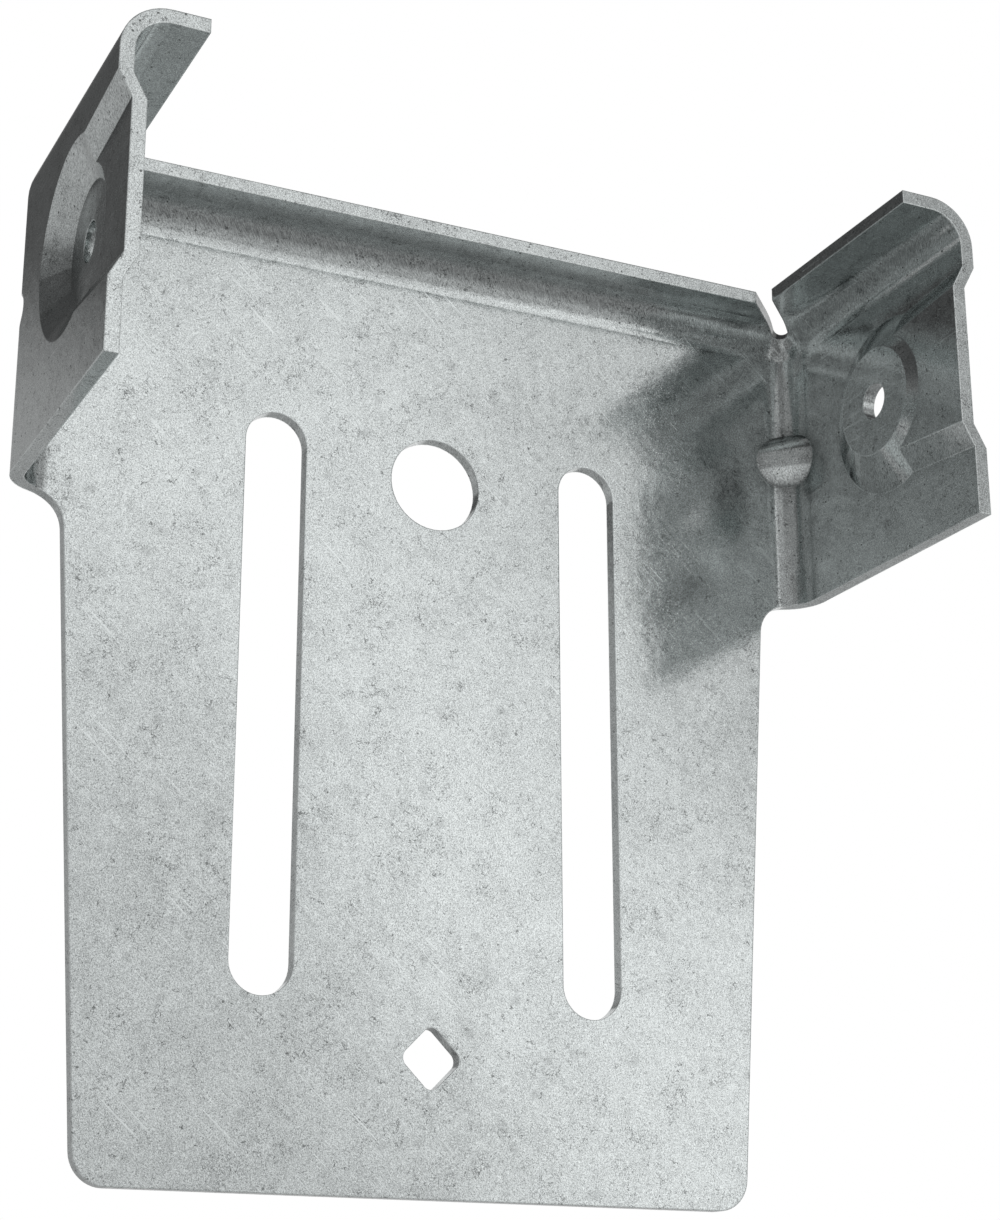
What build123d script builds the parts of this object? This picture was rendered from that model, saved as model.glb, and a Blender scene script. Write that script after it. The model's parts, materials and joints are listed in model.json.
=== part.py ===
"""Head-of-wall slide clip: one blank of galvanised sheet, punched, pressed and folded.

The upright plate carries two long slots, a round hole and a small diamond-shaped hole.
Its top edge is folded forward as a short lip.  Each side has a flange folded forward, and
each flange ends in a lip folded inward.  Where the plate, a flange and the two lips meet,
the folds run into one rounded corner, and a slanted relief slot parts the lips.

Millimetres, +Z up, -Y to the front.  The origin is the centre of the round hole on the
back face of the plate.
"""

import os
from math import radians, sqrt, tan

from build123d import *

# Sheet and folds
sheet = 1.43
fold_radius = 3.4            # inside radius of every fold

# Overall form
width = 92.1                 # over the outer faces of the flanges
depth = 35.2                 # back of the plate to the front edge of a flange
height = 100.75              # foot of the plate to the top of the lips
flange_height = 34.55
plate_lip_depth = 8.3        # back of the plate to the front edge of its lip
side_lip_width = 8.4         # outer face of a flange to the free edge of its lip
relief_width = 1.85          # slanted slot between the plate's lip and a side lip

# Tapered lower plate
foot_width = 70.7
shoulder_width = 79.9        # width where the plate meets the lower edge of the flanges
foot_corner_radius = 3.4
shoulder_radius = 3.6

# Openings in the plate, heights measured from its foot
hole_diameter = 10.1
hole_height = 73.65
slot_width = 6.65
slot_length = 60.25
slot_spacing = 35.9
slot_foot = 18.4
diamond_side = 4.85
diamond_corner_radius = 1.0
diamond_height = 13.43

# Pressed form in each flange: a round boss, and a channel from it to the front edge
boss_depth = 2.05
boss_diameter = 19.5         # at the flange face
boss_setback = 14.1          # front edge of the flange to the boss centre
channel_depth = 1.37
channel_mouth = 20.2         # width at the flange face, at the front edge
channel_neck = 17.5          # width at the flange face, level with the boss centre
press_angle = 28.5           # slope of the pressed walls from the flange face
pilot_diameter = 4.0

# Stiffening dart across each upright fold
dart_radius = 3.65
dart_reach = 4.5             # along each face from the corner of the faces to the dart's tip

# Levels and faces in the part's frame
foot = -hole_height
top = foot + height
flange_foot = top - flange_height
press_level = (flange_foot + top) / 2
half_width = width / 2
inner_face = half_width - sheet
boss_y = -depth + boss_setback
fold_outer = fold_radius + sheet


def flange_pressing(face_x):
    """Boss and channel that stand in from the right flange, from the face at face_x."""
    run = 1 / tan(radians(press_angle))     # of a pressed wall for each mm of its rise
    root = sheet / 2                        # the form starts this far behind the face
    with BuildPart() as form:
        boss_plane = Plane((face_x + root, boss_y, press_level), x_dir=(0, 1, 0), z_dir=(-1, 0, 0))
        with Locations(boss_plane):
            Cone(
                boss_diameter / 2 + root * run,
                boss_diameter / 2 - boss_depth * run,
                root + boss_depth,
                align=(Align.CENTER, Align.CENTER, Align.MIN),
            )
        for section_y, section_width in ((boss_y, channel_neck), (-depth, channel_mouth)):
            with BuildSketch(Plane.XZ.offset(-section_y)):
                with BuildLine():
                    floor_half = section_width / 2 - channel_depth * run
                    root_half = section_width / 2 + root * run
                    Polyline(
                        (face_x + root, press_level - root_half),
                        (face_x - channel_depth, press_level - floor_half),
                        (face_x - channel_depth, press_level + floor_half),
                        (face_x + root, press_level + root_half),
                        close=True,
                    )
                make_face()
        loft()
    return form.part


def dart_roller(radius):
    """Level cylinder across the right upright fold, at 45 degrees to plate and flange."""
    inset = dart_reach / 2 - dart_radius / sqrt(2)
    centre = (inner_face - inset, -sheet - inset, press_level)
    with BuildPart() as roller:
        with Locations(Plane(centre, x_dir=(0, 0, 1), z_dir=(1, -1, 0))):
            Cylinder(radius, 4 * dart_reach)
    return roller.part


# The folded sheet fills the outer skin of this block
with BuildPart() as envelope:
    with BuildSketch(Plane.XY.offset(foot)):
        Rectangle(width, depth, align=(Align.CENTER, Align.MAX))
    extrude(amount=height)
    upright_folds = envelope.edges().filter_by(Axis.Z).group_by(Axis.Y)[-1]
    lip_folds = envelope.faces().sort_by(Axis.Z)[-1].edges().sort_by(Axis.Y)[1:]
    fillet(upright_folds + lip_folds, fold_outer)

with BuildPart() as raised:
    add(flange_pressing(inner_face))
    add(dart_roller(dart_radius))
    mirror(about=Plane.YZ)
    add(envelope.part, mode=Mode.INTERSECT)

with BuildPart() as recessed:
    add(flange_pressing(half_width))
    add(dart_roller(dart_radius - sheet))
    mirror(about=Plane.YZ)

# Relief slots, square to the sheet at the middle of each rounded corner
with BuildPart() as reliefs:
    corner = (half_width - fold_outer, -fold_outer, top - fold_outer)
    reach = 4 * fold_outer
    with BuildSketch(Plane(corner, x_dir=(-1, -1, sqrt(2)), z_dir=(1, 1, sqrt(2)))):
        with Locations((reach / 2, 0)):
            SlotOverall(reach, relief_width)
    extrude(amount=2 * fold_outer, both=True)
    mirror(about=Plane.YZ)

with BuildPart() as slide_clip:
    # Skin of the block, open at the front and at the foot
    add(envelope.part)
    front_face = slide_clip.faces().sort_by(Axis.Y)[0]
    foot_face = slide_clip.faces().sort_by(Axis.Z)[0]
    offset(amount=-sheet, openings=[front_face, foot_face])
    add(raised.part)
    add(recessed.part, mode=Mode.SUBTRACT)

    # The top is cut back to the three lips
    with BuildSketch(Plane.XY.offset(top)):
        with Locations((0, -plate_lip_depth)):
            Rectangle(width - 2 * side_lip_width, depth, align=(Align.CENTER, Align.MAX))
    extrude(amount=-2 * sheet, mode=Mode.SUBTRACT)
    add(reliefs.part, mode=Mode.SUBTRACT)

    # Outline from the front: tapered plate with concave shoulders under the flanges
    with BuildSketch(Plane.XZ) as outline:
        with BuildLine():
            right = Polyline(
                (0, foot),
                (foot_width / 2, foot),
                (shoulder_width / 2, flange_foot),
                (width, flange_foot),
                (width, top + sheet),
                (0, top + sheet),
            )
            mirror(right, about=Plane.YZ)
        make_face()
        shoulders = outline.vertices().group_by(Axis.Y)[1].sort_by(lambda v: abs(v.X))[:2]
        fillet(shoulders, shoulder_radius)
        fillet(outline.vertices().group_by(Axis.Y)[0], foot_corner_radius)
    extrude(amount=2 * depth, both=True, mode=Mode.INTERSECT)

    # Openings in the plate
    with BuildSketch(Plane.XZ.offset(-sheet)):
        Circle(hole_diameter / 2)
        with Locations((0, foot + slot_foot + slot_length / 2)):
            with GridLocations(slot_spacing, 0, 2, 1):
                SlotOverall(slot_length, slot_width, rotation=90)
        with Locations((0, foot + diamond_height)):
            RectangleRounded(diamond_side, diamond_side, diamond_corner_radius, rotation=45)
    extrude(amount=3 * sheet, mode=Mode.SUBTRACT)

    # Pilot hole through each boss
    with BuildSketch(Plane.YZ):
        with Locations((boss_y, press_level)):
            Circle(pilot_diameter / 2)
    extrude(amount=width, both=True, mode=Mode.SUBTRACT)

slide_clip.part.label = "slide_clip"
os.makedirs("parts", exist_ok=True)
export_step(slide_clip.part, "parts/slide_clip.step")
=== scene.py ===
"""Looks of the head-of-wall slide clip: galvanised steel in a plain white studio."""

import json
from math import cos, radians, sin

import bpy
from mathutils import Euler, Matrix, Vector

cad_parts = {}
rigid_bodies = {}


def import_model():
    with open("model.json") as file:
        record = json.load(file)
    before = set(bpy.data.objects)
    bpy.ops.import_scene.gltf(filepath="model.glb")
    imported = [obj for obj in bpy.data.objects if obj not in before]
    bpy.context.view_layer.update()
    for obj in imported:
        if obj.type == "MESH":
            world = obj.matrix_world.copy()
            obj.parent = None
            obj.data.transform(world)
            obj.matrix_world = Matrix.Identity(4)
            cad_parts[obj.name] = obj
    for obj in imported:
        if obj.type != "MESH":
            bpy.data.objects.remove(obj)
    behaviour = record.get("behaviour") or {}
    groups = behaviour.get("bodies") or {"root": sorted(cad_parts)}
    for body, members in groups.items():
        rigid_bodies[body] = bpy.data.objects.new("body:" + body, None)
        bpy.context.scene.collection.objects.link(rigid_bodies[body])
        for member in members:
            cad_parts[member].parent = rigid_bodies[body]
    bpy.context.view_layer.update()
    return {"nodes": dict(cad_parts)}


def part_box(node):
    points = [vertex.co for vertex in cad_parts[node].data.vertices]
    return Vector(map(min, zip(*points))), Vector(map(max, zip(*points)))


# Camera: metres and degrees in the frame, pixels of the 1000 x 1220 photograph
IMAGE_SIZE = (1000, 1220)
CAMERA_PLACE = (-0.0957519, -0.2157890, -0.0920534)
CAMERA_TURN = -25.053          # about +Z, from looking along +Y
CAMERA_TILT = 18.317           # upwards
CAMERA_ROLL = 0.089
FOCAL_PIXELS = 2379.855
OPTICAL_AXIS = (473.2, 613.9)
SENSOR = 36                    # millimetres, along the image's height
CLIP_START = 0.01

MM_PER_METRE = 1000
BLACK = (0, 0, 0, 1)
WHITE = (1, 1, 1, 1)

# Studio, in metres and watts
FLOOR_DROP = 0.75              # from the clip's foot to the floor
FLOOR_SIZE = 200
FLOOR_COLOUR = (0.85, 0.85, 0.85, 1)
WORLD_FILL = 0.8               # strength of the white world for diffuse light
DOME_REACH = 0.7               # from the clip to the grey dome that the metal mirrors
DOME_STEP = 2                  # degrees between the dome's points
DOME_TONE = 0.37
# Lighter and darker parts of the dome: azimuths from -Y towards +X, elevations, fade, tone
DOME_PARTS = (
    ((-180, -100), (-40, 26), 5, 0.35),
    ((-158, -100), (-12, 11), 6, 0.43),
    ((115, 180), (-7, 30), 8, 0.80),
    ((-82, -35), (-8, 56), 8, 0.30),
    ((-50, -5), (8, 56), 8, 0.44),
    ((-50, -26), (23, 56), 3, 0.22),
    ((-50, -30), (-18, 8), 4, 0.33),
    ((-32, -4), (-18, 8), 4, 0.25),
    ((-48, -4), (-60, -16), 5, 0.25),
    ((-52, -42), (-60, -30), 5, 0.40),
    ((-100, -50), (-90, -50), 8, 0.54),
    ((-95, -68), (-48, -20), 6, 0.30),
    ((-68, -50), (-48, -12), 5, 0.60),
    ((-78, -62), (-2, 14), 6, 0.55),
    ((-20, 100), (-90, -46), 8, 0.27),
    ((-4, 70), (-34, 3), 8, 0.50),
    ((8, 19), (-40, -26), 5, 0.34),
    ((-16, -5), (-28, -16), 5, 0.45),
    ((0, 36), (2, 54), 8, 0.95),
    ((-2, 31), (29, 54), 6, 0.76),
    ((0, 17), (10, 21), 5, 0.80),
    ((5, 22), (-1, 15), 8, 0.70),
    ((20, 25), (-1, 8), 5, 0.74),
    ((23, 30), (8, 17), 5, 1.08),
    ((27, 42), (-6, 11), 5, 1.00),
    ((28, 60), (11, 56), 4, 0.84),
    ((26, 60), (21, 56), 4, 0.74),
    ((36, 100), (14, 54), 5, 0.42),
    ((-112, -78), (16, 56), 7, 0.15),
    ((-180, -84), (26, 90), 5, 0.09),
    ((-157, -124), (21, 90), 4, 0.07),
    ((140, 180), (36, 90), 8, 0.08),
    ((-180, 180), (52, 90), 8, 0.09),
    ((-180, 180), (70, 90), 8, 0.32),
)
KEY_PLACE = (0.35, -0.9, 0.45)  # from the clip's centre
KEY_POWER = 0.5
KEY_SIZE = 0.5

# Galvanised sheet: tones
ZINC_TONE = 0.70
ZINC_TINT = (0.95, 1.0, 0.997)
SCRATCH_TONE = 0.95
SCRATCH_SHARE = 0.7            # of that tone in a scratch
MOTTLE_WEIGHT = 0.25
CLOUD_WEIGHT = 0.30
GRAIN_WEIGHT = 1.5
HAIR_WEIGHT = 1.9
FLECK_DARK = 0.62
BLOT_DARK = 0.35
SPECK_DARK = 0.65
# Painted shade in each crease, and painted highlight along each edge
CREASE_PAINTED_SHADE = 0.7
EDGE_PAINTED_HIGHLIGHT = 0.45

# Galvanised sheet: where a pattern starts to count, and where it counts in full
STREAK_CREST = (0.66, 0.74)
CREASE_OPEN = (0.99, 0.75)     # share of the surroundings that is open; painted shade in each crease
EDGE_TURN = (0.997, 0.975)     # cosine between the rounded and the true normal; painted highlight along each edge

# Galvanised sheet: roughness and relief
ROUGH_LEAST = 0.10
ROUGH_MOST = 0.15
SPECK_ROUGH = 0.3
EDGE_ROUND = 0.0002            # metres
CREASE_REACH = 0.0025          # metres
WAVE_HEIGHT = 0.03             # millimetres, of the sheet's slow waves
GRAIN_HEIGHT = 0.0035
PIT_DEPTH = 0.01
SCRATCH_HEIGHT = 0.004
HAIRLINE_HEIGHT = 0.003


def clear_scene():
    """Remove whatever Blender starts with."""
    for thing in list(bpy.data.objects):
        bpy.data.objects.remove(thing)


class Nodes:
    """A short way to add and join shader nodes."""

    def __init__(self, tree):
        self.tree = tree
        tree.nodes.clear()

    def add(self, kind, inputs=None, **settings):
        node = self.tree.nodes.new(kind)
        for name, value in settings.items():
            setattr(node, name, value)
        for key, value in (inputs or {}).items():
            self.feed(node.inputs[key], value)
        return node

    def feed(self, socket, value):
        if isinstance(value, bpy.types.NodeSocket):
            self.tree.links.new(value, socket)
        else:
            socket.default_value = value

    def maths(self, operation, first, second=0.0, clamp=False):
        node = self.add("ShaderNodeMath", operation=operation, use_clamp=clamp)
        self.feed(node.inputs[0], first)
        self.feed(node.inputs[1], second)
        return node.outputs[0]

    def span(self, value, low, high, to_low=0.0, to_high=1.0):
        """Map low..high smoothly onto to_low..to_high."""
        node = self.add("ShaderNodeMapRange", interpolation_type="SMOOTHSTEP")
        for name, number in (("Value", value), ("From Min", low), ("From Max", high),
                             ("To Min", to_low), ("To Max", to_high)):
            self.feed(node.inputs[name], number)
        return node.outputs["Result"]

    def vectors(self, operation, first, second):
        node = self.add("ShaderNodeVectorMath", {0: first, 1: second}, operation=operation)
        return node.outputs[0]

    def mix(self, factor, first, second):
        """Mix two colours, which are the node's inputs A and B for colours."""
        node = self.add("ShaderNodeMix", {0: factor, 6: first, 7: second}, data_type="RGBA")
        return node.outputs[2]


def zinc(level):
    """Neutral grey with the faint green-blue cast of zinc."""
    return (level * ZINC_TINT[0], level * ZINC_TINT[1], level * ZINC_TINT[2], 1)


class Sheet(Nodes):
    """Patterns on the sheet.  Scales are per millimetre, sizes in millimetres."""

    def __init__(self, tree):
        super().__init__(tree)
        place = self.add("ShaderNodeTexCoord").outputs["Object"]
        self.mm = self.vectors("MULTIPLY", place, 3 * (MM_PER_METRE,))

    def noise(self, scale, detail=2.0, rough=0.5, where=None, output="Fac"):
        return self.add("ShaderNodeTexNoise", {
            "Vector": where or self.mm, "Scale": scale, "Detail": detail, "Roughness": rough,
        }).outputs[output]

    def warped(self, reach, scale):
        """The place, pushed about by up to the reach."""
        push = self.vectors("SUBTRACT", self.noise(scale, output="Color"), (0.5, 0.5, 0.5))
        push = self.vectors("MULTIPLY", push, 3 * (2 * reach,))
        return self.vectors("ADD", self.mm, push)

    def specks(self, spacing, smallest, largest, share):
        """Spots of random size, in that share of the cells of a random grid."""
        where = self.warped(reach=0.12, scale=3)
        cells = self.add("ShaderNodeTexVoronoi", {"Vector": where, "Scale": 1 / spacing})
        chance = self.add("ShaderNodeSeparateColor", {0: cells.outputs["Color"]}).outputs
        radius = self.span(chance[1], 0, 1, smallest / spacing, largest / spacing)
        inside = self.maths("DIVIDE", cells.outputs["Distance"], radius)
        taken = self.maths("LESS_THAN", chance[0], share)
        return self.maths("MULTIPLY", self.span(inside, 1.0, 0.55), taken)

    def drawn(self, turn, length, gap):
        """The place, turned and then drawn out, so that a pattern runs along X before the turn."""
        rotation = [radians(angle) for angle in turn]
        turned = self.add("ShaderNodeMapping", {"Vector": self.mm, "Rotation": rotation},
                          vector_type="TEXTURE").outputs[0]
        return self.vectors("MULTIPLY", turned, (1 / length, 1 / gap, 1 / gap))

    def streaks(self, turn, length, gap):
        """Thin tapered lines, the highest crests of a drawn-out pattern."""
        pattern = self.noise(scale=1, detail=1, where=self.drawn(turn, length, gap))
        return self.span(pattern, *STREAK_CREST)

    def cracks(self, scale, width, share):
        """Crooked lines where a pattern is near its middle value, broken into pieces."""
        pattern = self.noise(scale, detail=2)
        band = self.maths("ABSOLUTE", self.maths("SUBTRACT", pattern, 0.5))
        line = self.span(band, width, width / 3)
        breaks = self.span(self.noise(scale=0.8, detail=1), 1 - share, 1.04 - share)
        return self.maths("MULTIPLY", line, breaks)

    def painted_crease_shade(self):
        """Where neighbouring walls close in on the surface: the mask of the painted shade in each
        crease.
        """
        occlusion = self.add("ShaderNodeAmbientOcclusion", {"Distance": CREASE_REACH}, samples=8)
        return self.span(occlusion.outputs["AO"], *CREASE_OPEN)

    def edges(self, rounded):
        """Where the rounded normal leaves the true one: the mask of the painted highlight along
        each edge.
        """
        true = self.add("ShaderNodeNewGeometry").outputs["Normal"]
        along = self.add("ShaderNodeVectorMath", {0: rounded, 1: true}, operation="DOT_PRODUCT")
        return self.span(along.outputs["Value"], *EDGE_TURN)

    def shade(self, tone, *patterns):
        """The tone, changed by each pattern times its weight."""
        total = 1.0
        for pattern, weight in patterns:
            change = self.maths("MULTIPLY", self.maths("SUBTRACT", pattern, 0.5), weight)
            total = self.maths("ADD", change, total)
        return self.maths("MULTIPLY", total, tone)

    def dim(self, tone, pattern, weight):
        """The tone, darkened by the pattern times the weight.  A negative weight brightens."""
        left = self.maths("SUBTRACT", 1.0, self.maths("MULTIPLY", pattern, weight))
        return self.maths("MULTIPLY", tone, left)

    def most(self, *patterns):
        """The highest of the patterns at each place."""
        highest = patterns[0]
        for pattern in patterns[1:]:
            highest = self.maths("MAXIMUM", highest, pattern)
        return highest


def galvanised_steel():
    """Zinc-coated sheet: mottled and grained, with dark marks and bright scratches, and with
    painted shade in each crease and a painted highlight along each edge."""
    material = bpy.data.materials.new("galvanised_steel")
    material.use_nodes = True
    sheet = Sheet(material.node_tree)

    mottle = sheet.noise(scale=0.16, detail=3)
    cloud = sheet.noise(scale=0.9, detail=3, rough=0.6)
    grain = sheet.noise(scale=7.5, detail=2, rough=0.8)
    hair = sheet.noise(scale=1, detail=1,
                       where=sheet.drawn(turn=(0, 35, 45), length=0.8, gap=0.08))
    waves = sheet.noise(scale=0.5, detail=2)

    specks = sheet.specks(spacing=0.8, smallest=0.04, largest=0.15, share=0.9)
    blots = sheet.specks(spacing=3.5, smallest=0.3, largest=0.9, share=0.8)
    blots = sheet.maths("MULTIPLY", blots, sheet.span(grain, 0.48, 0.60))
    clusters = sheet.span(sheet.noise(scale=0.22, detail=3), 0.45, 0.62)
    fine = sheet.cracks(scale=1.7, width=0.022, share=0.55)
    flecks = sheet.most(sheet.cracks(scale=0.9, width=0.016, share=0.40),
                        sheet.maths("MULTIPLY", fine, clusters))
    scratches = sheet.most(
        sheet.streaks(turn=(0, 43, 0), length=9, gap=0.25),
        sheet.streaks(turn=(35, 0, 90), length=7, gap=0.25),
        sheet.streaks(turn=(20, -12, 60), length=11, gap=0.25),
    )
    scratches = sheet.maths("MULTIPLY", scratches, sheet.span(mottle, 0.35, 0.6))
    hairlines = sheet.most(
        sheet.streaks(turn=(0, 50, 0), length=2.2, gap=0.12),
        sheet.streaks(turn=(0, -65, 0), length=1.6, gap=0.12),
    )
    hairlines = sheet.maths("MULTIPLY", hairlines, clusters)

    rounded = sheet.add("ShaderNodeBevel", {"Radius": EDGE_ROUND}, samples=6).outputs[0]
    # Painted shade: the tone is darker where neighbouring walls close in, in each crease and
    # corner.
    painted_crease_shade = sheet.painted_crease_shade()
    # Painted highlight along each edge, held off where the painted shade lies.
    edges = sheet.dim(sheet.edges(rounded), painted_crease_shade, 1.0)

    tone = sheet.shade(ZINC_TONE, (mottle, MOTTLE_WEIGHT), (cloud, CLOUD_WEIGHT),
                       (grain, GRAIN_WEIGHT), (hair, HAIR_WEIGHT))
    # Dark marks, painted shade and painted highlight, each changing the tone by its weight.
    for pattern, weight in ((flecks, FLECK_DARK), (blots, BLOT_DARK), (specks, SPECK_DARK),
                            (painted_crease_shade, CREASE_PAINTED_SHADE), (edges, -EDGE_PAINTED_HIGHLIGHT)):
        tone = sheet.dim(tone, pattern, weight)
    bared = sheet.maths("MULTIPLY", scratches, SCRATCH_SHARE)
    colour = sheet.mix(bared, sheet.mix(tone, BLACK, zinc(1)), zinc(SCRATCH_TONE))

    rough = sheet.span(cloud, 0.3, 0.7, ROUGH_LEAST, ROUGH_MOST)
    rough = sheet.maths("ADD", rough, sheet.maths("MULTIPLY", specks, SPECK_ROUGH))

    relief = sheet.maths("MULTIPLY", waves, WAVE_HEIGHT)
    for pattern, height in ((grain, GRAIN_HEIGHT), (specks, -PIT_DEPTH),
                            (scratches, SCRATCH_HEIGHT), (hairlines, HAIRLINE_HEIGHT)):
        relief = sheet.maths("ADD", relief, sheet.maths("MULTIPLY", pattern, height))
    bump = sheet.add("ShaderNodeBump", {
        "Strength": 1.0, "Distance": 1 / MM_PER_METRE, "Height": relief, "Normal": rounded})

    shader = sheet.add("ShaderNodeBsdfPrincipled", {
        "Base Color": colour, "Metallic": 1.0, "Roughness": rough, "Normal": bump.outputs[0]})
    sheet.add("ShaderNodeOutputMaterial", {"Surface": shader.outputs[0]})
    return material


def camera_rays(nodes):
    """1 where the ray comes from the camera or is a reflection or a see-through one."""
    path = nodes.add("ShaderNodeLightPath").outputs
    seen = nodes.maths("ADD", path["Is Camera Ray"], path["Is Glossy Ray"])
    return nodes.maths("ADD", seen, path["Is Transmission Ray"], clamp=True)


def white_world():
    world = bpy.data.worlds.new("studio")
    world.use_nodes = True
    nodes = Nodes(world.node_tree)
    strength = nodes.span(camera_rays(nodes), 0, 1, WORLD_FILL, 1.0)
    background = nodes.add("ShaderNodeBackground", {"Color": WHITE, "Strength": strength})
    nodes.add("ShaderNodeOutputWorld", {"Surface": background.outputs[0]})
    bpy.context.scene.world = world


def stage_piece(name, points, faces, material):
    mesh = bpy.data.meshes.new(name)
    mesh.from_pydata(points, [], faces)
    mesh.materials.append(material)
    piece = bpy.data.objects.new(name, mesh)
    bpy.context.scene.collection.objects.link(piece)
    return piece


def plain_material(name, kind, attribute=None, colour=WHITE):
    """One shader of that kind, coloured by the mesh's attribute or evenly."""
    material = bpy.data.materials.new(name)
    material.use_nodes = True
    nodes = Nodes(material.node_tree)
    if attribute:
        colour = nodes.add("ShaderNodeAttribute", attribute_name=attribute).outputs["Color"]
    shader = nodes.add(kind, {"Color": colour})
    nodes.add("ShaderNodeOutputMaterial", {"Surface": shader.outputs[0]})
    return material


def fade_in(depth, width):
    """0 outside an edge, 1 inside it, over a band of that width."""
    part = min(max(depth / width + 0.5, 0), 1)
    return part * part * (3 - 2 * part)


def cover(angle, start, end, fade):
    """How far the angle is covered by start..end.  A range has no edge at the zenith."""
    middle, half = (start + end) / 2, (end - start) / 2
    if half >= 180 or (end == 90 and angle > middle):
        return 1
    off = abs(angle - middle)
    return fade_in(half - min(off, 360 - off), fade)


def dome_tone(azimuth, elevation):
    tone = DOME_TONE
    for azimuths, elevations, fade, part_tone in DOME_PARTS:
        weight = cover(azimuth, *azimuths, fade) * cover(elevation, *elevations, fade)
        tone += weight * (part_tone - tone)
    return tone


def dome(centre):
    """Grey surroundings of the clip, which only the metal's reflections show."""
    points, tones, faces = [], [], []
    columns, rows = 360 // DOME_STEP, 180 // DOME_STEP + 1
    for row in range(rows):
        elevation = row * DOME_STEP - 90
        for column in range(columns):
            azimuth = column * DOME_STEP - 180
            ahead = cos(radians(elevation))
            way = Vector((sin(radians(azimuth)) * ahead, -cos(radians(azimuth)) * ahead,
                          sin(radians(elevation))))
            points.append(centre + DOME_REACH * way)
            tones.append(dome_tone(azimuth, elevation))
            if row:
                corner, beside = row * columns + column, row * columns + (column + 1) % columns
                faces.append((corner, beside, beside - columns, corner - columns))
    material = plain_material("dome", "ShaderNodeEmission", attribute="tone")
    piece = stage_piece("dome", points, faces, material)
    shades = piece.data.color_attributes.new("tone", "FLOAT_COLOR", "POINT")
    for shade, tone in zip(shades.data, tones):
        shade.color = (tone, tone, tone, 1)
    piece.visible_camera = False
    piece.visible_diffuse = False
    piece.visible_shadow = False


def studio(centre, foot):
    white_world()
    half, level = FLOOR_SIZE / 2, foot - FLOOR_DROP
    corners = [(x * half, y * half, level) for x, y in ((-1, -1), (1, -1), (1, 1), (-1, 1))]
    material = plain_material("floor", "ShaderNodeBsdfDiffuse", colour=FLOOR_COLOUR)
    stage_piece("floor", corners, [(0, 1, 2, 3)], material)
    dome(centre)

    light = bpy.data.lights.new("key", "AREA")
    light.energy = KEY_POWER
    light.size = KEY_SIZE
    lamp = bpy.data.objects.new("key", light)
    bpy.context.scene.collection.objects.link(lamp)
    lamp.location = centre + Vector(KEY_PLACE)
    lamp.rotation_euler = Vector(KEY_PLACE).to_track_quat("Z", "Y").to_euler()
    lamp.visible_glossy = False


def photo_camera():
    camera = bpy.data.cameras.new("camera")
    camera.sensor_fit = "VERTICAL"
    camera.sensor_height = SENSOR
    camera.lens = SENSOR * FOCAL_PIXELS / IMAGE_SIZE[1]
    camera.shift_x = (IMAGE_SIZE[0] / 2 - OPTICAL_AXIS[0]) / IMAGE_SIZE[1]
    camera.shift_y = (OPTICAL_AXIS[1] - IMAGE_SIZE[1] / 2) / IMAGE_SIZE[1]
    camera.clip_start = CLIP_START
    body = bpy.data.objects.new("camera", camera)
    bpy.context.scene.collection.objects.link(body)
    body.location = CAMERA_PLACE
    turn = Euler((radians(90 + CAMERA_TILT), 0, radians(CAMERA_TURN)))
    turn.rotate_axis("Z", radians(CAMERA_ROLL))
    body.rotation_euler = turn
    bpy.context.scene.camera = body


clear_scene()
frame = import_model()

low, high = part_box("slide_clip")
frame["nodes"]["slide_clip"].material_slots[0].material = galvanised_steel()
studio((low + high) / 2, low.z)
photo_camera()
bpy.context.scene.view_settings.view_transform = "Standard"
